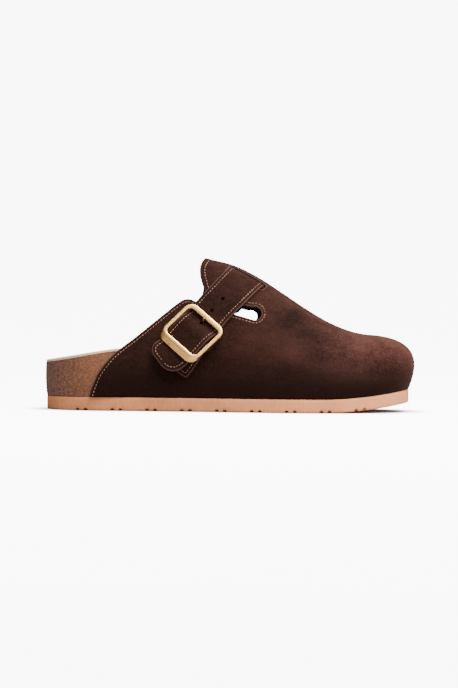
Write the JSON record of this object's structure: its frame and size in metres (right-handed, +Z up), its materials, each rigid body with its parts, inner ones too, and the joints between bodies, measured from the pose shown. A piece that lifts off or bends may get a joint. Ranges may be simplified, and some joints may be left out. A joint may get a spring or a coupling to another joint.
{
  "type": "clog slipper",
  "caption": "Right closed-toe suede clog with an open heel, cork footbed, flat foam outsole and a buckled instep strap.",
  "frame": {"origin": "on the flat underside of the outsole, on the heel's centre line, at the middle of the sole's length", "axes": "+X from heel to toe, +Y to the inner (medial) side of this right shoe, +Z up from the ground"},
  "size_m": [0.2773, 0.1015, 0.1119],
  "materials": {
    "outsole_foam": "matt moulded foam rubber with fine texture",
    "footbed_cork": "sanded ground cork, sealed and matt",
    "insole_lining": "napped split-leather lining",
    "upper_suede": "dark brown suede with a soft nap",
    "strap_suede": "dark brown suede with stitched edges",
    "tab_suede": "dark brown suede, folded and stitched",
    "buckle_brass": "brushed pale gold plating",
    "prong_brass": "bright drawn wire, pale gold"
  },
  "bodies": {
    "root": {"outsole": "outsole_foam", "footbed": "footbed_cork", "insole": "insole_lining", "upper": "upper_suede", "strap": "strap_suede", "buckle_tab": "tab_suede", "buckle_frame": "buckle_brass", "buckle_prong": "prong_brass"}
  },
  "joints": []
}
